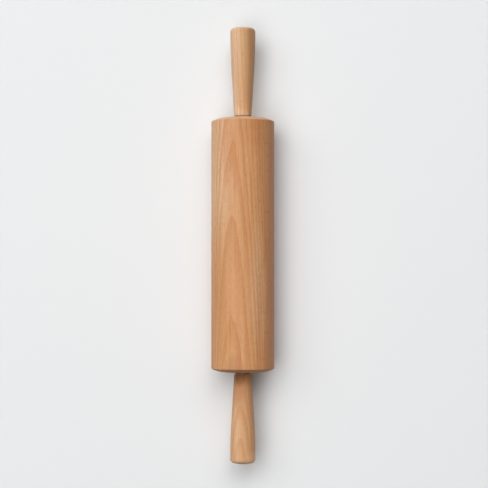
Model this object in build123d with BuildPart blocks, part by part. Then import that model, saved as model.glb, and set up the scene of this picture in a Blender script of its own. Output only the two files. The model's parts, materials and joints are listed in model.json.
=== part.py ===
from build123d import *
from math import radians, tan
import os

# Rolling pin. A beech roller turns on two ball bearings round a steel axle, and a turned
# beech handle is screwed to each end of the axle.
# X runs along the axle and Z is up. The origin is on the axle's centreline, half way along
# the roller. Lengths are in millimetres and angles in degrees.

# Roller
roller_length = 254.0
roller_diameter = 63.0
roller_crown = 3.5
roller_rim_radius = 0.8
roller_flange_margin = 2.5
roller_bore_diameter = 12.0

# Handles, from the neck beside the roller to the domed end
handle_length = 89.5
handle_gap = 2.2
handle_neck_diameter = 17.4
handle_neck_round = 0.8
handle_grip_diameter = 25.2
handle_grip_run = 6.5
handle_end_crown = 2.0
handle_end_radius = 4.0
handle_drill_allowance = 3.0
drill_point_angle = 118.0
# The two control points of the handle's side, as shares of the way from neck to grip:
# along the handle, then out from the axis
handle_side_shares = ((1 / 3, 1 / 3), (2 / 3, 1))

# Threaded inserts that hold the handles to the axle
insert_diameter = 11.0
insert_length = 24.0
insert_chamfer = 0.5
insert_groove_count = 6
insert_groove_depth = 0.5
insert_groove_width = 1.2

# Axle
axle_diameter = 8.0
axle_engagement = 22.0
axle_chamfer = 0.8

# Ball bearings
bearing_diameter = 22.0
bearing_width = 7.0
bearing_recess = 0.5
ball_diameter = 3.969
ball_count = 7
ball_play = 0.02
race_groove_share = 0.52
race_shoulder_share = 0.365
race_chamfer = 0.3
cage_thickness = 1.2
cage_width = 5.2
cage_pocket_play = 0.06
shield_thickness = 0.35
shield_recess = 0.25
shield_seat_depth = 0.65
shield_clearance = 0.2

# Nylon cups that carry the bearings in the roller's ends
cup_wall = 3.0
cup_shoulder = 1.5
cup_shoulder_height = 2.0
cup_flange_width = 2.5
cup_flange_thickness = 1.5

# Washers between the bearings and the handles, each with a narrower step toward the bearing
washer_diameter = 15.0
washer_step_diameter = 12.0
washer_clearance = 0.3
washer_play = 0.05
washer_chamfer = 0.25

# Retaining rings that seat in the axle's grooves, behind the bearings
ring_groove_depth = 0.2
ring_groove_play = 0.1
ring_thickness = 0.8
ring_band = 1.4
ring_gap = 2.0
ring_lug_diameter = 3.0
ring_lug_hole_diameter = 1.1
ring_lug_angle = 24.0

# Places along X, from the middle of the roller out to one end
roller_end = roller_length / 2
handle_face = roller_end + handle_gap
handle_end = handle_face + handle_length
bearing_outer_face = roller_end - bearing_recess
bearing_inner_face = bearing_outer_face - bearing_width
bearing_middle = bearing_outer_face - bearing_width / 2
cup_inner_face = bearing_inner_face - cup_shoulder
axle_end = handle_face + axle_engagement

# Radii that more than one piece follows
axle_radius = axle_diameter / 2
bearing_radius = bearing_diameter / 2
ball_radius = ball_diameter / 2
ball_pitch_radius = (axle_radius + bearing_radius) / 2
race_groove_radius = race_groove_share * ball_diameter
race_shoulder_height = race_shoulder_share * ball_diameter
inner_shoulder_radius = ball_pitch_radius - race_shoulder_height
outer_shoulder_radius = ball_pitch_radius + race_shoulder_height
shield_seat_radius = outer_shoulder_radius + shield_seat_depth
shield_seat = shield_recess + shield_thickness
cup_radius = bearing_radius + cup_wall
cup_flange_radius = cup_radius + cup_flange_width
cup_shoulder_radius = bearing_radius - cup_shoulder_height
insert_radius = insert_diameter / 2
ring_seat_radius = axle_radius - ring_groove_depth

SIDES = {"left": -1, "right": 1}


def end_plane(side, place):
    """Plane across the axle at a distance from the middle, facing out, with local Y up."""
    out = SIDES[side]
    return Plane(origin=(out * place, 0, 0), x_dir=(0, out, 0), z_dir=(out, 0, 0))


def side_plane(side):
    """Plane through the axle: local X runs out to that side's end, and local Y is up."""
    out = SIDES[side]
    return Plane(origin=(0, 0, 0), x_dir=(out, 0, 0), z_dir=(0, -out, 0))


def save(piece, name):
    piece.part.label = name
    export_step(piece.part, f"parts/{name}.step")


def make_roller():
    """Beech cylinder, bored through, with a stepped seat in each end.

    Each end face is flat round the cup's flange, then curves back to a crisp rim.
    """
    roller_radius = roller_diameter / 2
    crown_start = cup_flange_radius + roller_flange_margin
    rim_place = roller_end - roller_crown
    with BuildPart() as roller:
        with BuildSketch(Plane.XY) as half_section:
            with BuildLine():
                for out in SIDES.values():
                    Line((out * roller_end, 0), (out * roller_end, crown_start))
                    TangentArc(
                        (out * roller_end, crown_start),
                        (out * rim_place, roller_radius),
                        tangent=(0, 1),
                    )
                Line((-rim_place, roller_radius), (rim_place, roller_radius))
                Line((-roller_end, 0), (roller_end, 0))
            make_face()
            fillet(half_section.vertices().group_by(Axis.Y)[-1], roller_rim_radius)
        revolve(axis=Axis.X)
        with BuildSketch(Plane.YZ):
            Circle(roller_bore_diameter / 2)
        extrude(amount=roller_end, both=True, mode=Mode.SUBTRACT)
        for side in SIDES:
            with BuildSketch(end_plane(side, roller_end)):
                Circle(cup_flange_radius)
            extrude(amount=-cup_flange_thickness, mode=Mode.SUBTRACT)
            with BuildSketch(end_plane(side, cup_inner_face)):
                Circle(cup_radius)
            extrude(amount=roller_end - cup_inner_face, mode=Mode.SUBTRACT)
    save(roller, "roller_barrel")


def make_axle():
    """Steel rod, chamfered at both ends, with a groove for each retaining ring."""
    with BuildPart() as axle:
        with BuildSketch(Plane.YZ):
            Circle(axle_radius)
        extrude(amount=axle_end, both=True)
        chamfer(axle.edges().filter_by(GeomType.CIRCLE), axle_chamfer)
        for side in SIDES:
            with BuildSketch(end_plane(side, bearing_inner_face)):
                Circle(axle_radius)
                Circle(ring_seat_radius, mode=Mode.SUBTRACT)
            extrude(amount=-(ring_thickness + ring_groove_play), mode=Mode.SUBTRACT)
    save(axle, "axle_rod")


def make_handle(side):
    """Turned handle: a narrow neck that swells to the grip, a domed end and a drilled seat."""
    neck_radius = handle_neck_diameter / 2
    grip_radius = handle_grip_diameter / 2
    swell = grip_radius - neck_radius
    side_start = handle_face + handle_neck_round
    grip_end = handle_end - handle_end_crown
    side_length = grip_end - handle_grip_run - side_start
    controls = [
        (side_start + along * side_length, neck_radius + outward * swell)
        for along, outward in handle_side_shares
    ]
    drill_depth = insert_length + handle_drill_allowance
    drill_point = insert_radius / tan(radians(drill_point_angle / 2))
    with BuildPart() as handle:
        with BuildSketch(side_plane(side)) as half_section:
            with BuildLine():
                neck_round = CenterArc(
                    (side_start, neck_radius - handle_neck_round), handle_neck_round, 180, -90
                )
                swelling = Bezier(neck_round @ 1, *controls, (side_start + side_length, grip_radius))
                Line(swelling @ 1, (grip_end, grip_radius))
                TangentArc((handle_end, 0), (grip_end, grip_radius), tangent=(0, 1))
                Polyline((handle_end, 0), (handle_face, 0), neck_round @ 0)
            make_face()
            grip_corner = half_section.vertices().sort_by_distance((grip_end, grip_radius))[0]
            fillet(grip_corner, handle_end_radius)
        revolve(axis=Axis.X)
        with BuildSketch(side_plane(side)):
            with BuildLine():
                Polyline(
                    (handle_face, 0),
                    (handle_face, insert_radius),
                    (handle_face + drill_depth, insert_radius),
                    (handle_face + drill_depth + drill_point, 0),
                    close=True,
                )
            make_face()
        revolve(axis=Axis.X, mode=Mode.SUBTRACT)
    save(handle, f"{side}_handle")


def make_insert(side):
    """Brass sleeve, grooved outside to grip the wood, that takes the axle's threaded end."""
    groove_step = insert_length / (insert_groove_count + 1)
    with BuildPart() as insert:
        with BuildSketch(end_plane(side, handle_face)):
            Circle(insert_radius)
        extrude(amount=insert_length)
        for groove in range(insert_groove_count):
            groove_start = handle_face + (groove + 1) * groove_step - insert_groove_width / 2
            with BuildSketch(end_plane(side, groove_start)):
                Circle(insert_radius)
                Circle(insert_radius - insert_groove_depth, mode=Mode.SUBTRACT)
            extrude(amount=insert_groove_width, mode=Mode.SUBTRACT)
        far_edges = insert.edges().group_by(Axis.X)[-1 if SIDES[side] > 0 else 0]
        chamfer(far_edges, insert_chamfer)
        with BuildSketch(end_plane(side, handle_face)):
            Circle(axle_radius)
        extrude(amount=insert_length, mode=Mode.SUBTRACT)
    save(insert, f"{side}_handle_insert")


def make_washer(side):
    """Washer that keeps the handle off the roller. Its step bears on the inner race alone."""
    step_end = roller_end + washer_clearance
    with BuildPart() as washer:
        with BuildSketch(end_plane(side, step_end)):
            Circle(washer_diameter / 2)
        extrude(amount=handle_face - step_end)
        chamfer(washer.edges().filter_by(GeomType.CIRCLE), washer_chamfer)
        with BuildSketch(end_plane(side, bearing_outer_face)):
            Circle(washer_step_diameter / 2)
        extrude(amount=step_end - bearing_outer_face)
        with BuildSketch(end_plane(side, bearing_outer_face)):
            Circle(axle_radius + washer_play)
        extrude(amount=handle_face - bearing_outer_face, mode=Mode.SUBTRACT)
    save(washer, f"{side}_thrust_washer")


def make_retaining_ring(side):
    """Open spring ring with two drilled lugs, seated in the axle's groove."""
    band_radius = ring_seat_radius + ring_band
    with BuildPart() as ring:
        with BuildSketch(end_plane(side, bearing_inner_face)):
            Circle(band_radius)
            with PolarLocations(band_radius, 2, -90 - ring_lug_angle, 2 * ring_lug_angle, endpoint=True):
                Circle(ring_lug_diameter / 2)
            with PolarLocations(band_radius, 2, -90 - ring_lug_angle, 2 * ring_lug_angle, endpoint=True):
                Circle(ring_lug_hole_diameter / 2, mode=Mode.SUBTRACT)
            Circle(ring_seat_radius, mode=Mode.SUBTRACT)
            Rectangle(
                ring_gap,
                band_radius + ring_lug_diameter,
                align=(Align.CENTER, Align.MAX),
                mode=Mode.SUBTRACT,
            )
        extrude(amount=-ring_thickness)
    save(ring, f"{side}_retaining_ring")


def make_cup(side):
    """Flanged nylon cup, pressed into the roller's end, with a shoulder for the outer race."""
    with BuildPart() as cup:
        with BuildSketch(end_plane(side, cup_inner_face)):
            Circle(cup_radius)
        extrude(amount=roller_end - cup_inner_face)
        with BuildSketch(end_plane(side, roller_end)):
            Circle(cup_flange_radius)
        extrude(amount=-cup_flange_thickness)
        with BuildSketch(end_plane(side, bearing_inner_face)):
            Circle(bearing_radius)
        extrude(amount=roller_end - bearing_inner_face, mode=Mode.SUBTRACT)
        with BuildSketch(end_plane(side, cup_inner_face)):
            Circle(cup_shoulder_radius)
        extrude(amount=cup_shoulder, mode=Mode.SUBTRACT)
    save(cup, f"{side}_bearing_cup")


def make_inner_race(side):
    """Inner ring of the bearing, on the axle, with a groove that the balls roll in."""
    groove_bottom = ball_pitch_radius - ball_radius - ball_play
    with BuildPart() as race:
        with BuildSketch(end_plane(side, bearing_inner_face)):
            Circle(inner_shoulder_radius)
        extrude(amount=bearing_width)
        chamfer(race.edges().filter_by(GeomType.CIRCLE), race_chamfer)
        with BuildSketch(end_plane(side, bearing_inner_face)):
            Circle(axle_radius)
        extrude(amount=bearing_width, mode=Mode.SUBTRACT)
        with BuildSketch(side_plane(side)):
            with Locations((bearing_middle, groove_bottom + race_groove_radius)):
                Circle(race_groove_radius)
        revolve(axis=Axis.X, mode=Mode.SUBTRACT)
    save(race, f"{side}_inner_race")


def make_outer_race(side):
    """Outer ring of the bearing, in the cup, with a ball groove and a seat for each shield."""
    groove_bottom = ball_pitch_radius + ball_radius + ball_play
    with BuildPart() as race:
        with BuildSketch(end_plane(side, bearing_inner_face)):
            Circle(bearing_radius)
        extrude(amount=bearing_width)
        chamfer(race.edges().filter_by(GeomType.CIRCLE), race_chamfer)
        with BuildSketch(end_plane(side, bearing_inner_face)):
            Circle(outer_shoulder_radius)
        extrude(amount=bearing_width, mode=Mode.SUBTRACT)
        for seat_start in (bearing_inner_face, bearing_outer_face - shield_seat):
            with BuildSketch(end_plane(side, seat_start)):
                Circle(shield_seat_radius)
            extrude(amount=shield_seat, mode=Mode.SUBTRACT)
        with BuildSketch(side_plane(side)):
            with Locations((bearing_middle, groove_bottom - race_groove_radius)):
                Circle(race_groove_radius)
        revolve(axis=Axis.X, mode=Mode.SUBTRACT)
    save(race, f"{side}_outer_race")


def make_balls(side):
    """The bearing's balls, each a solid of its own, evenly spaced on the pitch circle."""
    with BuildPart() as balls:
        with Locations(end_plane(side, bearing_middle)):
            with PolarLocations(ball_pitch_radius, ball_count):
                Sphere(ball_radius)
    save(balls, f"{side}_bearing_balls")


def make_cage(side):
    """Ring with a round pocket for each ball, which keeps the balls apart."""
    with BuildPart() as cage:
        with BuildSketch(end_plane(side, bearing_middle - cage_width / 2)):
            Circle(ball_pitch_radius + cage_thickness / 2)
            Circle(ball_pitch_radius - cage_thickness / 2, mode=Mode.SUBTRACT)
        extrude(amount=cage_width)
        with Locations(end_plane(side, bearing_middle)):
            with PolarLocations(ball_pitch_radius, ball_count):
                Cylinder(
                    ball_radius + cage_pocket_play,
                    ball_diameter,
                    rotation=(0, 90, 0),
                    mode=Mode.SUBTRACT,
                )
    save(cage, f"{side}_bearing_cage")


def make_shields(side):
    """Two thin steel discs, seated in the outer race, that keep flour out of the bearing."""
    shield_starts = {
        "inner": bearing_inner_face + shield_recess,
        "outer": bearing_outer_face - shield_seat,
    }
    for place, start in shield_starts.items():
        with BuildPart() as shield:
            with BuildSketch(end_plane(side, start)):
                Circle(shield_seat_radius)
                Circle(inner_shoulder_radius + shield_clearance, mode=Mode.SUBTRACT)
            extrude(amount=shield_thickness)
        save(shield, f"{side}_{place}_shield")


os.makedirs("parts", exist_ok=True)
make_roller()
make_axle()
for side in SIDES:
    make_handle(side)
    make_insert(side)
    make_washer(side)
    make_retaining_ring(side)
    make_cup(side)
    make_inner_race(side)
    make_outer_race(side)
    make_balls(side)
    make_cage(side)
    make_shields(side)
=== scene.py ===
import json
import math

import bpy
from mathutils import Matrix, Vector


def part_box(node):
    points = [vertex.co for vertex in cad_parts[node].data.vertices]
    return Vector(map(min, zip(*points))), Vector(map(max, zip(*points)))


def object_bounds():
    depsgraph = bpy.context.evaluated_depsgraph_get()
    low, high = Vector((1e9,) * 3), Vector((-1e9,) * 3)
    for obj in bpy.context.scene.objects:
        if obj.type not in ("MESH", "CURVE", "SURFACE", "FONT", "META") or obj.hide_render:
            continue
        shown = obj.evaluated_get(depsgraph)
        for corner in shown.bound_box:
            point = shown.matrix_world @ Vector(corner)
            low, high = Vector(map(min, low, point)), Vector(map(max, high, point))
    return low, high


# A beech rolling pin lying on a pale floor, seen from straight above. In the picture the pin's
# +X end points up and its +Y side is on the left. Lengths are in metres, apart from the sizes
# inside materials, which are in millimetres. A bump is given by its strength and its depth.

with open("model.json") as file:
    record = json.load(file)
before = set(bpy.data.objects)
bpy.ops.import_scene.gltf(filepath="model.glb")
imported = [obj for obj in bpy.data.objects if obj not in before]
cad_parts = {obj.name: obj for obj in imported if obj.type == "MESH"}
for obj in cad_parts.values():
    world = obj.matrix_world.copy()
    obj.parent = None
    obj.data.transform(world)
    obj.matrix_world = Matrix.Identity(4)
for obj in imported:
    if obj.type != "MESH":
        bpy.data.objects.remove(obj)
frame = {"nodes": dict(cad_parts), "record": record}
cad_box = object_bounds()
nodes = frame["nodes"]

MM_PER_M = 1000.0

# The picture: its size, the millimetres that one pixel covers at the axle, and the pixel that
# the pin's middle falls on
PICTURE_PX = 488
MM_PER_PX = 1.0015
PIN_MIDDLE_PX = (242.8, 244.9)

# Camera, a little nearer to the picture's lower end of the pin
CAMERA_HEIGHT = 1.7
CAMERA_SHIFT = -0.045

# Floor, which the roller rests on
FLOOR_REACH = 8.0
FLOOR_COLOR = (0.800, 0.802, 0.806)
FLOOR_ROUGHNESS = 0.85
FLOOR_GLOSS = 0.15
FLOOR_GRAIN_SIZE = (3.0, 3.0, 3.0)
FLOOR_BUMP = (0.1, 0.05)

# Large soft lamps, far enough off to light the whole floor evenly: one beyond the picture's top,
# a high one and a lower one toward its upper left, a high one toward its lower left and a weak one
# toward its upper right. Each is given by its direction about the pin, from +X toward +Y in
# degrees, its rise above the floor in degrees, and its power.
LAMP_DISTANCE = 6.0
LAMP_SIZE = 4.2
LAMPS = {
    "top_lamp": (0, 54, 100.0),
    "high_lamp": (26, 69, 104.0),
    "upper_left_lamp": (60, 50, 107.0),
    "lower_left_lamp": (130, 70, 116.0),
    "upper_right_lamp": (-30, 50, 44.0),
}

# The room round the pin: a faint cool light, and a pale backdrop where it is seen or mirrored
ROOM_COLOR = (0.60, 0.90, 1.0)
ROOM_STRENGTH = 0.03
BACKDROP_COLOR = (0.80, 0.81, 0.82)

# Beech. Each of the three turned pieces comes from its own billet, with the following facts.
# pith, side, drift: how far the tree's pith is from the axle at the pin's middle, which way it
#   lies round the axle, from +Z toward +Y in degrees, and how much it draws away for each
#   millimetre along +X.
# rings: the growth rings' outer edges, as radii about the pith, that the camera's side cuts
#   through. RING_WIDTH is the usual width of the rings beyond those.
# early, late, pale, deep: the colours of early and late wood, and a pale and a deep colour, which
# the flanks use for painted light and shade.
# flanks: painted light and shade: a sheen painted on the lit +Y flank and shade painted on the -Y
#   flank. Each gives its colour, its side of the axle, 1 for +Y and -1 for -Y, where it starts to
#   show and where it is full, as shares of the piece's radius, and how strong it is there.
# patches: ovals of another colour, some of them painted light or shade, each with its middle and
#   its half width across, toward +Y, as shares of the piece's radius, its middle and its half
#   length along X, and its strength in the middle.
# The left handle's neck: darker wood that also paints the shadow of the roller's end on it, and
# a tint that paints that shadow where it is darkest.
# fleck: how strong the short strokes along the grain are.
# shift: where the wood's noises start, so that no two pieces are alike.
ROLLER_WOOD = {
    "pith": 90.0,
    "side": 20.2,
    "drift": 0.055,
    "rings": (55.05, 60.15, 64.37),
    "early": (0.580, 0.288, 0.126),
    "late": (0.495, 0.212, 0.075),
    "pale": (0.700, 0.440, 0.262),
    "deep": (0.440, 0.192, 0.080),
    "flanks": (("pale", 1.0, 0.10, 0.75, 0.85), ("deep", -1.0, 0.35, 0.95, 0.75)),
    "patches": (
        ("early", 0.80, 1.00, -70.0, 120.0, 1.00),
        ("pale", -0.46, 0.30, -40.0, 80.0, 0.34),
        ("deep", -0.45, 0.75, 122.0, 40.0, 0.42),
        ("deep", 0.30, 0.36, -127.0, 24.0, 0.60),
    ),
    "fleck": 0.080,
    "shift": 3.7,
}
RIGHT_HANDLE_WOOD = {
    "pith": 46.0,
    "side": -58.0,
    "drift": -0.03,
    "rings": (34.0, 37.0, 41.5, 44.0, 48.0),
    "early": (0.600, 0.345, 0.168),
    "late": (0.500, 0.260, 0.110),
    "pale": (0.720, 0.500, 0.335),
    "deep": (0.400, 0.205, 0.095),
    "flanks": (("pale", 1.0, 0.05, 0.65, 0.9), ("deep", -1.0, 0.00, 0.60, 0.8)),
    "patches": (
        # Painted light by the neck, where the joint with the roller is in shade
        ("pale", 0.60, 0.70, 130.0, 12.0, 0.80),
        ("pale", 0.10, 0.60, 128.0, 10.0, 0.50),
    ),
    "fleck": 0.040,
    "shift": 11.3,
}
LEFT_HANDLE_WOOD = {
    "pith": 60.0,
    "side": 14.0,
    "drift": 0.07,
    "rings": (32.0, 34.5, 38.5, 42.0),
    "early": (0.620, 0.345, 0.170),
    "late": (0.540, 0.260, 0.105),
    "pale": (0.680, 0.420, 0.240),
    "deep": (0.540, 0.285, 0.135),
    "flanks": (("pale", 1.0, 0.00, 0.60, 0.7), ("deep", -1.0, 0.10, 0.70, 0.6)),
    "patches": (
        # Darker wood by the neck, which also paints the shadow of the roller's end there
        ("soaked", 0.40, 0.90, -134.0, 34.0, 0.46),
        # A painted highlight on the rim of the handle's -X end
        ("pale", -0.75, 0.85, -216.0, 13.0, 0.85),
        # A tint that paints the shadow of the roller's end on the neck
        ("stain", 0.28, 0.66, -128.0, 16.0, 0.80),
    ),
    "soaked": (0.300, 0.100, 0.028),
    "stain": (0.500, 0.420, 0.310),
    "fleck": 0.010,
    "shift": 7.9,
}
RING_WIDTH = 3.1

# How far the rings wander, over long waves along the grain and over short ones
LONG_WANDER = 0.55
LONG_WAVE = (90.0, 16.0, 16.0)
SHORT_WANDER = 0.16
SHORT_WAVE = (22.0, 3.2, 3.2)

# Late wood: the parts of a ring over which it sets in and stops, and how much of it the faintest
# and the strongest ring show
LATE_RISE = (0.30, 0.93)
LATE_STOP = (0.965, 1.0)
RING_CONTRAST = (0.50, 0.85)

# How much of the late wood's colour shows through each flank, the patches and the end grain
LATE_IN_FLANK = {"pale": 0.6, "deep": 0.5}
LATE_IN_PATCH = 0.7
LATE_IN_END = 0.4

# How far the flanks' edges waver, as a share of the radius
FLANK_WAVER = 0.10
FLANK_WAVE = (60.0, 9.0, 9.0)

# Darker wood in the left handle's neck, which also paints the shadow that the roller's end casts
# there: the places along X where it starts to show, where it gets stronger and where it is
# strongest, and the strength that it gains up to the second place and from there to the third
NECK_DARK_FROM = -185.0
NECK_DARK_MORE = -145.0
NECK_DARK_MOST = -129.0
FAR_NECK_DARK = 0.22
NEAR_NECK_DARK = 0.62

# Rosy streaks
STREAK_SIZE = (120.0, 6.0, 6.0)
STREAK_REACH = (-0.35, 0.95)
STREAK_STRENGTH = 0.9
ROSY_TINT = (0.950, 0.860, 0.840)

# Ray flecks and pores, one to a cell. A cell's sizes are along the grain, round the pith and out
# from it. An edge says how far from a cell's centre, in cells, the fleck starts to fade and is
# gone. RAY_CHANCE says over which chances, from 0 to 1, a cell's ray sets in.
RAY_SIZE = (5.2, 0.85, 24.0)
RAY_EDGE = (0.18, 0.34)
RAY_CHANCE = (0.35, 0.7)
RAY_STRENGTH = 0.30
RAY_WOOD = (0.300, 0.135, 0.055)
PORE_SIZE = (2.6, 0.24, 0.5)
PORE_EDGE = (0.16, 0.34)
PORE_STRENGTH = 0.28
PORE_WOOD = (0.260, 0.110, 0.045)

# Fibres, broader bands and short strokes along the grain, and how much they change the shade
FIBRE_SIZE = (26.0, 0.55, 0.55)
FIBRE_SHADE = 0.045
BAND_SIZE = (240.0, 2.6, 2.6)
BAND_SHADE = 0.065
FLECK_SIZE = (6.5, 1.1, 1.1)

# End grain, which drinks the most oil. Its colour paints light and shade: the +X end is painted
# pale, a painted highlight where the lamps strike it, and the -X end dark, painted shade.
# END_FACING says how squarely a face has to look along X, from 0 to 1, before it starts to show
# and to show in full. The two ends' colours meet within END_TURN of 0.
END_FACING = (0.45, 0.97)
END_TURN = 0.3
END_STRENGTH = 0.65
PAINTED_LIGHT_END_WOOD = (0.760, 0.510, 0.320)
PAINTED_SHADE_END_WOOD = (0.260, 0.130, 0.065)

# How rough the wood is, and how that changes with its fibres, rays and end grain
WOOD_ROUGHNESS = 0.54
FIBRE_ROUGHNESS = 0.05
RAY_ROUGHNESS = -0.08
END_ROUGHNESS = 0.12
WOOD_GLOSS = 0.25

# The wood's relief: how high its fibres and how deep its pores are, as shares of the bump
FIBRE_HEIGHT = 0.35
PORE_HEIGHT = -1.0
WOOD_BUMP = (0.5, 0.05)

# Metals: faint smears of oil, and fine lines round the axle
SMEAR_SIZE = (6.0, 4.0, 4.0)
SMEAR_SHADE = 0.05
SMEAR_ROUGHNESS = 0.06
LINE_LENGTH = 60.0
LINE_BUMP = (0.35, 0.01)

# Nylon: slightly cloudy, faintly pebbled, with light that soaks in by GLOW_DEPTH metres
CLOUD_SIZE = (9.0, 9.0, 9.0)
CLOUD_SHADE = 0.03
PEBBLE_SIZE = (0.35, 0.35, 0.35)
PEBBLE_ROUGHNESS = 0.05
PEBBLE_BUMP = (0.4, 0.02)
GLOW = 0.15
GLOW_DEPTH = 0.002

# Cloth laminate: thin layers across the axle
LAYER_SIZE = (0.18, 6.0, 6.0)
LAYER_SHADE = 0.12
LAYER_ROUGHNESS = 0.05
LAYER_BUMP = (0.4, 0.03)

# How much finer detail a noise holds, from broad waves to fibres, and how far it is stretched to
# run from about -1 to 1
BROAD = 1.0
FINE = 2.0
FINEST = 3.0
NOISE_STRETCH = 4.0


class Graph:
    """The node tree of a material or a world, with a method for each kind of thing it holds."""

    def __init__(self, owner):
        owner.use_nodes = True
        self.owner = owner
        self.tree = owner.node_tree
        self.tree.nodes.clear()

    def node(self, kind, inputs=None, **settings):
        """One node, with its inputs set or joined by name or number."""
        node = self.tree.nodes.new(kind)
        for name, value in settings.items():
            setattr(node, name, value)
        for socket, value in (inputs or {}).items():
            if isinstance(value, bpy.types.NodeSocket):
                self.tree.links.new(value, node.inputs[socket])
            else:
                node.inputs[socket].default_value = value
        return node

    def math(self, operation, *values):
        """A number worked out from others."""
        return self.node("ShaderNodeMath", dict(enumerate(values)), operation=operation).outputs[0]

    def place(self):
        """The point on the object, in millimetres, which turns with its body."""
        point = self.node("ShaderNodeTexCoord").outputs["Object"]
        return self.node(
            "ShaderNodeVectorMath",
            {0: point, 1: (MM_PER_M, MM_PER_M, MM_PER_M)},
            operation="MULTIPLY",
        ).outputs[0]

    def facing(self):
        """The surface's own direction, which turns with its body."""
        return self.node("ShaderNodeTexCoord").outputs["Normal"]

    def along(self, vector, direction):
        """How much of the vector lies in a direction."""
        return self.node(
            "ShaderNodeVectorMath", {0: vector, 1: direction}, operation="DOT_PRODUCT"
        ).outputs["Value"]

    def join(self, x, y, z):
        """A vector from its three parts."""
        return self.node("ShaderNodeCombineXYZ", {0: x, 1: y, 2: z}).outputs[0]

    def counted(self, vector, sizes, shift):
        """The vector counted in the given sizes along X, Y and Z, from a shifted start."""
        counts = self.node("ShaderNodeVectorMath", {0: vector, 1: sizes}, operation="DIVIDE")
        moved = {0: counts.outputs[0], 1: (shift, shift, shift)}
        return self.node("ShaderNodeVectorMath", moved, operation="ADD").outputs[0]

    def noise(self, vector, sizes, detail=BROAD, shift=0.0):
        """Noise from about -1 to 1, whose lumps have the given sizes."""
        value = self.node(
            "ShaderNodeTexNoise",
            {"Vector": self.counted(vector, sizes, shift), "Scale": 1.0, "Detail": detail},
        ).outputs[0]
        return self.math("MULTIPLY_ADD", value, NOISE_STRETCH, -NOISE_STRETCH / 2)

    def cells(self, vector, sizes, shift):
        """Scattered cells: how far the nearest centre is, in cells, and a chance for each cell."""
        cell = self.node(
            "ShaderNodeTexVoronoi", {"Vector": self.counted(vector, sizes, shift), "Scale": 1.0}
        )
        chance = self.node("ShaderNodeSeparateColor", {0: cell.outputs["Color"]}).outputs[0]
        return cell.outputs["Distance"], chance

    def chance(self, number, shift):
        """A chance from 0 to 1 that belongs to a whole number."""
        moved = self.math("ADD", number, shift)
        return self.node("ShaderNodeTexWhiteNoise", {"W": moved}, noise_dimensions="1D").outputs[0]

    def step(self, value, low, high, to_low=0.0, to_high=1.0):
        """A smooth step of the value from low to high."""
        return self.node(
            "ShaderNodeMapRange",
            {0: value, 1: low, 2: high, 3: to_low, 4: to_high},
            interpolation_type="SMOOTHSTEP",
        ).outputs[0]

    def line(self, value, low, high, to_low=0.0, to_high=1.0, clamp=True):
        """A straight slope of the value from low to high."""
        return self.node(
            "ShaderNodeMapRange", {0: value, 1: low, 2: high, 3: to_low, 4: to_high}, clamp=clamp
        ).outputs[0]

    def blend(self, share, first, second, blend="MIX"):
        """Two colours mixed."""
        colors = {
            socket: color if isinstance(color, bpy.types.NodeSocket) else (*color, 1.0)
            for socket, color in {6: first, 7: second}.items()
        }
        return self.node(
            "ShaderNodeMix", {0: share, **colors}, data_type="RGBA", blend_type=blend
        ).outputs[2]

    def tinted(self, color, tint):
        """A colour seen through another."""
        return self.blend(1.0, color, tint, "MULTIPLY")

    def shade(self, color, tone):
        """A colour made lighter or darker by a number about 1."""
        return self.tinted(color, self.join(tone, tone, tone))

    def bump(self, height, strength, depth):
        """A normal for the shader, from a height and how deep it is in millimetres."""
        return self.node(
            "ShaderNodeBump", {"Height": height, "Strength": strength, "Distance": depth / MM_PER_M}
        ).outputs[0]

    def shaded(self, **inputs):
        """Ends the tree in a Principled shader with these inputs, and returns the material."""
        inputs = {name.replace("_", " "): value for name, value in inputs.items()}
        color = inputs["Base Color"]
        if not isinstance(color, bpy.types.NodeSocket):
            inputs["Base Color"] = (*color, 1.0)
        shader = self.node("ShaderNodeBsdfPrincipled", inputs)
        self.node("ShaderNodeOutputMaterial", {"Surface": shader.outputs[0]})
        return self.owner


def pith_place(graph, place, wood):
    """A point's place along X, the arc round the pith to it, and its distance from the pith."""
    side = math.radians(wood["side"])
    length = graph.along(place, (1.0, 0.0, 0.0))
    across = graph.along(place, (0.0, math.cos(side), -math.sin(side)))
    toward = graph.along(place, (0.0, math.sin(side), math.cos(side)))
    distance = graph.math("MULTIPLY_ADD", length, wood["drift"], wood["pith"])
    gap = graph.math("SUBTRACT", distance, toward)
    square = graph.math("MULTIPLY_ADD", across, across, graph.math("MULTIPLY", gap, gap))
    arc = graph.math("MULTIPLY", graph.math("ARCTAN2", across, gap), wood["pith"])
    return length, arc, graph.math("SQRT", square)


def ring_count(graph, radius, edges):
    """How many growth rings lie inside a radius: one more at each edge, and even ones beyond."""
    count = graph.line(radius, edges[0] - RING_WIDTH, edges[0], -1.0, 0.0, clamp=False)
    count = graph.math("MINIMUM", count, 0.0)
    for inner, outer in zip(edges, edges[1:]):
        count = graph.math("ADD", count, graph.line(radius, inner, outer))
    beyond = graph.line(radius, edges[-1], edges[-1] + RING_WIDTH, clamp=False)
    return graph.math("ADD", count, graph.math("MAXIMUM", beyond, 0.0))


def late_wood(graph, place, radius, wood):
    """How much late wood shows: most near the outer edge of a growth ring."""
    shift = wood["shift"]
    long_wave = graph.noise(place, LONG_WAVE, shift=shift)
    short_wave = graph.noise(place, SHORT_WAVE, shift=shift)
    wander = graph.math("MULTIPLY", short_wave, SHORT_WANDER)
    wander = graph.math("MULTIPLY_ADD", long_wave, LONG_WANDER, wander)
    count = ring_count(graph, graph.math("ADD", radius, wander), wood["rings"])
    part = graph.math("FRACT", count)
    late = graph.step(part, *LATE_RISE)
    late = graph.math("MULTIPLY", late, graph.step(part, *LATE_STOP, 1.0, 0.0))
    chance = graph.chance(graph.math("FLOOR", count), shift)
    return graph.math("MULTIPLY", late, graph.line(chance, 0.0, 1.0, *RING_CONTRAST))


def ringed(graph, color, late, share, wood):
    """A colour that a share of the late wood shows through."""
    return graph.blend(graph.math("MULTIPLY", late, share), color, wood["late"])


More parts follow.
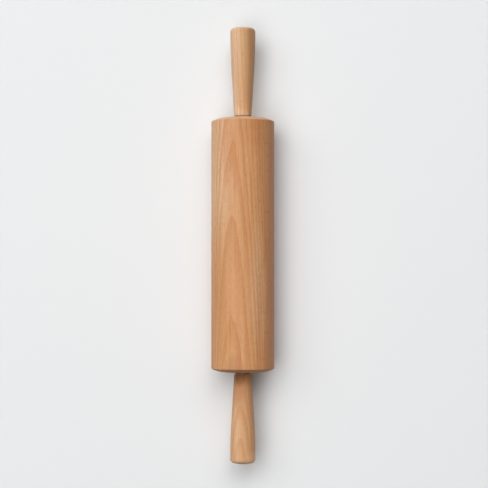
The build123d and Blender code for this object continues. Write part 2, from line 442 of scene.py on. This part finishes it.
def wood_color(graph, place, length, late, wood, piece_radius):
    """Colour between rays and pores: rings, flanks of painted light and shade, a darker neck,
    streaks.
    """
    shift = wood["shift"]
    waver = graph.noise(place, FLANK_WAVE, shift=shift)
    flank = graph.along(place, (0.0, 1.0 / piece_radius, 0.0))
    flank = graph.math("MULTIPLY_ADD", waver, FLANK_WAVER, flank)

    color = graph.blend(late, wood["early"], wood["late"])
    # The flanks: painted sheen on the lit +Y side and painted shade on the -Y side
    for tone, side, start, full, strength in wood["flanks"]:
        reach = graph.step(graph.math("MULTIPLY", flank, side), start, full, 0.0, strength)
        color = graph.blend(
            reach, color, ringed(graph, wood[tone], late, LATE_IN_FLANK[tone], wood)
        )
    # Darker wood toward the neck, which also paints the shadow that the roller's end casts there
    if "soaked" in wood:
        near = graph.step(length, NECK_DARK_MORE, NECK_DARK_MOST, 0.0, NEAR_NECK_DARK)
        far = graph.step(length, NECK_DARK_FROM, NECK_DARK_MORE, 0.0, FAR_NECK_DARK)
        color = graph.blend(graph.math("ADD", near, far), color, wood["soaked"])
    for tone, side, half_width, middle, half_length, strength in wood["patches"]:
        aside = graph.math("DIVIDE", graph.math("SUBTRACT", flank, side), half_width)
        ahead = graph.math("DIVIDE", graph.math("SUBTRACT", length, middle), half_length)
        away = graph.math("MULTIPLY_ADD", aside, aside, graph.math("MULTIPLY", ahead, ahead))
        # A tint that paints the roller's shadow on the neck where it is darkest
        if tone == "stain":
            patch = graph.tinted(color, wood[tone])
        else:
            patch = ringed(graph, wood[tone], late, LATE_IN_PATCH, wood)
        color = graph.blend(graph.step(away, 0.0, 1.0, strength, 0.0), color, patch)
    streak = graph.noise(place, STREAK_SIZE, shift=shift)
    streak = graph.step(streak, *STREAK_REACH, 0.0, STREAK_STRENGTH)
    return graph.blend(streak, color, graph.tinted(color, ROSY_TINT))


def end_grain(graph, color, late, wood):
    """How much end grain shows, and the colour with it."""
    endward = graph.along(graph.facing(), (1.0, 0.0, 0.0))
    end = graph.step(graph.math("ABSOLUTE", endward), *END_FACING)
    turn = graph.step(endward, -END_TURN, END_TURN)
    # Painted light on the +X end and painted shade on the -X end
    end_color = graph.blend(turn, PAINTED_SHADE_END_WOOD, PAINTED_LIGHT_END_WOOD)
    end_color = ringed(graph, end_color, late, LATE_IN_END, wood)
    return end, graph.blend(graph.math("MULTIPLY", end, END_STRENGTH), color, end_color)


def beech(name, wood, piece_radius):
    """Oiled beech: rings about a pith line, ray flecks, pores, fibres, end grain, painted light and
    shade.
    """
    graph = Graph(bpy.data.materials.new(name))
    shift = wood["shift"]
    place = graph.place()
    length, arc, radius = pith_place(graph, place, wood)
    late = late_wood(graph, place, radius, wood)
    color = wood_color(graph, place, length, late, wood, piece_radius)

    grain = graph.join(length, arc, radius)
    ray_gap, ray_chance = graph.cells(grain, RAY_SIZE, shift)
    ray_shape = graph.step(ray_gap, *RAY_EDGE, 1.0, 0.0)
    ray = graph.math("MULTIPLY", ray_shape, graph.step(ray_chance, *RAY_CHANCE))
    color = graph.blend(graph.math("MULTIPLY", ray, RAY_STRENGTH), color, RAY_WOOD)
    pore_gap, pore_chance = graph.cells(grain, PORE_SIZE, shift)
    pore = graph.math("MULTIPLY", graph.step(pore_gap, *PORE_EDGE, 1.0, 0.0), pore_chance)
    color = graph.blend(graph.math("MULTIPLY", pore, PORE_STRENGTH), color, PORE_WOOD)

    fibre = graph.noise(place, FIBRE_SIZE, FINEST, shift)
    band = graph.noise(place, BAND_SIZE, FINE, shift)
    fleck = graph.noise(place, FLECK_SIZE, FINE, shift)
    tone = graph.math("MULTIPLY_ADD", fibre, FIBRE_SHADE, 1.0)
    tone = graph.math("MULTIPLY_ADD", band, BAND_SHADE, tone)
    tone = graph.math("MULTIPLY_ADD", fleck, wood["fleck"], tone)
    end, color = end_grain(graph, graph.shade(color, tone), late, wood)

    rough = graph.math("MULTIPLY_ADD", fibre, FIBRE_ROUGHNESS, WOOD_ROUGHNESS)
    rough = graph.math("MULTIPLY_ADD", ray, RAY_ROUGHNESS, rough)
    rough = graph.math("MULTIPLY_ADD", end, END_ROUGHNESS, rough)
    height = graph.math("MULTIPLY", pore, PORE_HEIGHT)
    height = graph.math("MULTIPLY_ADD", fibre, FIBRE_HEIGHT, height)
    return graph.shaded(
        Base_Color=color,
        Roughness=rough,
        Specular_IOR_Level=WOOD_GLOSS,
        Normal=graph.bump(height, *WOOD_BUMP),
    )


def turned_metal(name, color, roughness, line_size):
    """Metal with the fine lines that a lathe or a die leaves, and faint smears of oil."""
    graph = Graph(bpy.data.materials.new(name))
    place = graph.place()
    smear = graph.noise(place, SMEAR_SIZE, FINE)
    lines = graph.noise(place, (line_size, LINE_LENGTH, LINE_LENGTH), FINE)
    return graph.shaded(
        Base_Color=graph.shade(color, graph.math("MULTIPLY_ADD", smear, SMEAR_SHADE, 1.0)),
        Roughness=graph.math("MULTIPLY_ADD", smear, SMEAR_ROUGHNESS, roughness),
        Metallic=1.0,
        Normal=graph.bump(lines, *LINE_BUMP),
    )


def moulded_nylon(name, color, roughness):
    """Natural nylon, as it comes from the mould."""
    graph = Graph(bpy.data.materials.new(name))
    place = graph.place()
    cloud = graph.noise(place, CLOUD_SIZE, FINE)
    pebble = graph.noise(place, PEBBLE_SIZE, FINE)
    return graph.shaded(
        Base_Color=graph.shade(color, graph.math("MULTIPLY_ADD", cloud, CLOUD_SHADE, 1.0)),
        Roughness=graph.math("MULTIPLY_ADD", pebble, PEBBLE_ROUGHNESS, roughness),
        Subsurface_Weight=GLOW,
        Subsurface_Scale=GLOW_DEPTH,
        Normal=graph.bump(pebble, *PEBBLE_BUMP),
    )


def cloth_laminate(name, color, roughness):
    """Brown cloth laminate, turned to size, so its thin layers show as fine lines."""
    graph = Graph(bpy.data.materials.new(name))
    layers = graph.noise(graph.place(), LAYER_SIZE, FINE)
    return graph.shaded(
        Base_Color=graph.shade(color, graph.math("MULTIPLY_ADD", layers, LAYER_SHADE, 1.0)),
        Roughness=graph.math("MULTIPLY_ADD", layers, LAYER_ROUGHNESS, roughness),
        Normal=graph.bump(layers, *LAYER_BUMP),
    )


def dress(node, material):
    """Gives a CAD node one material."""
    slots = nodes[node].data.materials
    slots.clear()
    slots.append(material)


# Materials

turned_woods = {
    "roller_barrel": ("roller_beech", ROLLER_WOOD),
    "right_handle": ("right_handle_beech", RIGHT_HANDLE_WOOD),
    "left_handle": ("left_handle_beech", LEFT_HANDLE_WOOD),
}
for node, (name, wood) in turned_woods.items():
    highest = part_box(node)[1]
    dress(node, beech(name, wood, highest[2] * MM_PER_M))

finishes = {
    "axle_steel": turned_metal(
        "drawn_steel", color=(0.60, 0.60, 0.59), roughness=0.30, line_size=0.12
    ),
    "bearing_steel": turned_metal(
        "ground_steel", color=(0.64, 0.64, 0.645), roughness=0.22, line_size=0.06
    ),
    "ball_steel": turned_metal(
        "polished_steel", color=(0.70, 0.70, 0.71), roughness=0.08, line_size=0.5
    ),
    "ring_steel": turned_metal(
        "spring_steel", color=(0.16, 0.155, 0.15), roughness=0.45, line_size=0.2
    ),
    "insert_brass": turned_metal(
        "turned_brass", color=(0.74, 0.56, 0.27), roughness=0.30, line_size=0.15
    ),
    "cup_nylon": moulded_nylon("cup_nylon", color=(0.74, 0.70, 0.60), roughness=0.48),
    "cage_nylon": moulded_nylon("cage_nylon", color=(0.70, 0.66, 0.55), roughness=0.42),
}
for part in frame["record"]["subparts"]:
    if part["material_slot"] in finishes:
        dress(part["node"], finishes[part["material_slot"]])

# One laminate in two colours: the +X washer pale, painted light in its shaded gap, and the -X
# washer dark, painted shade in the gap under the roller's shadow
painted_light_laminate = cloth_laminate("painted_light_laminate", color=(0.560, 0.360, 0.200), roughness=0.60)
painted_shade_laminate = cloth_laminate("painted_shade_laminate", color=(0.130, 0.050, 0.020), roughness=0.45)
dress("right_thrust_washer", painted_light_laminate)
dress("left_thrust_washer", painted_shade_laminate)


# Floor

def add_floor():
    level = cad_box[0][2]
    bpy.ops.mesh.primitive_plane_add(size=FLOOR_REACH, location=(0.0, 0.0, level))
    floor = bpy.context.object
    floor.name = "floor"
    graph = Graph(bpy.data.materials.new("pale_floor"))
    grain = graph.noise(graph.place(), FLOOR_GRAIN_SIZE, FINE)
    floor.data.materials.append(
        graph.shaded(
            Base_Color=FLOOR_COLOR,
            Roughness=FLOOR_ROUGHNESS,
            Specular_IOR_Level=FLOOR_GLOSS,
            Normal=graph.bump(grain, *FLOOR_BUMP),
        )
    )


add_floor()


# Light

def add_lamp(name, turn, rise, power):
    lamp = bpy.data.lights.new(name, "AREA")
    lamp.shape = "DISK"
    lamp.size = LAMP_SIZE
    lamp.energy = power
    flat = math.cos(rise)
    direction = Vector((flat * math.cos(turn), flat * math.sin(turn), math.sin(rise)))
    holder = bpy.data.objects.new(name, lamp)
    holder.location = direction * LAMP_DISTANCE
    holder.rotation_euler = direction.to_track_quat("Z", "Y").to_euler()
    bpy.context.scene.collection.objects.link(holder)


def add_room():
    """A faint light from all round, and the backdrop for rays that look at it."""
    world = bpy.data.worlds.new("pale_room")
    bpy.context.scene.world = world
    graph = Graph(world)
    rays = graph.node("ShaderNodeLightPath").outputs
    seen = graph.math("MAXIMUM", rays["Is Camera Ray"], rays["Is Glossy Ray"])
    seen = graph.math("MAXIMUM", seen, rays["Is Transmission Ray"])
    room = graph.node(
        "ShaderNodeBackground", {"Color": (*ROOM_COLOR, 1.0), "Strength": ROOM_STRENGTH}
    )
    backdrop = graph.node("ShaderNodeBackground", {"Color": (*BACKDROP_COLOR, 1.0)})
    mix = graph.node(
        "ShaderNodeMixShader", {0: seen, 1: room.outputs[0], 2: backdrop.outputs[0]}
    )
    graph.node("ShaderNodeOutputWorld", {"Surface": mix.outputs[0]})


for name, (turn, rise, power) in LAMPS.items():
    add_lamp(name, math.radians(turn), math.radians(rise), power)
add_room()


# Camera

def add_camera():
    """Looks along its own axis at the place under the picture's middle."""
    camera = bpy.data.cameras.new("camera")
    metres_per_px = MM_PER_PX / MM_PER_M
    middle = PICTURE_PX / 2
    target = Vector(
        (
            (PIN_MIDDLE_PX[1] - middle) * metres_per_px,
            (PIN_MIDDLE_PX[0] - middle) * metres_per_px,
            0.0,
        )
    )
    place = Vector((CAMERA_SHIFT, target.y, CAMERA_HEIGHT))
    back = place - target
    camera.lens = camera.sensor_width * back.length / (PICTURE_PX * metres_per_px)
    holder = bpy.data.objects.new("camera", camera)
    right = Vector((0.0, -1.0, 0.0))
    turn = Matrix((right, back.normalized().cross(right), back.normalized())).transposed()
    holder.matrix_world = Matrix.Translation(place) @ turn.to_4x4()
    bpy.context.scene.collection.objects.link(holder)
    bpy.context.scene.camera = holder


add_camera()
bpy.context.scene.view_settings.view_transform = "Standard"

bpy.context.view_layer.update()
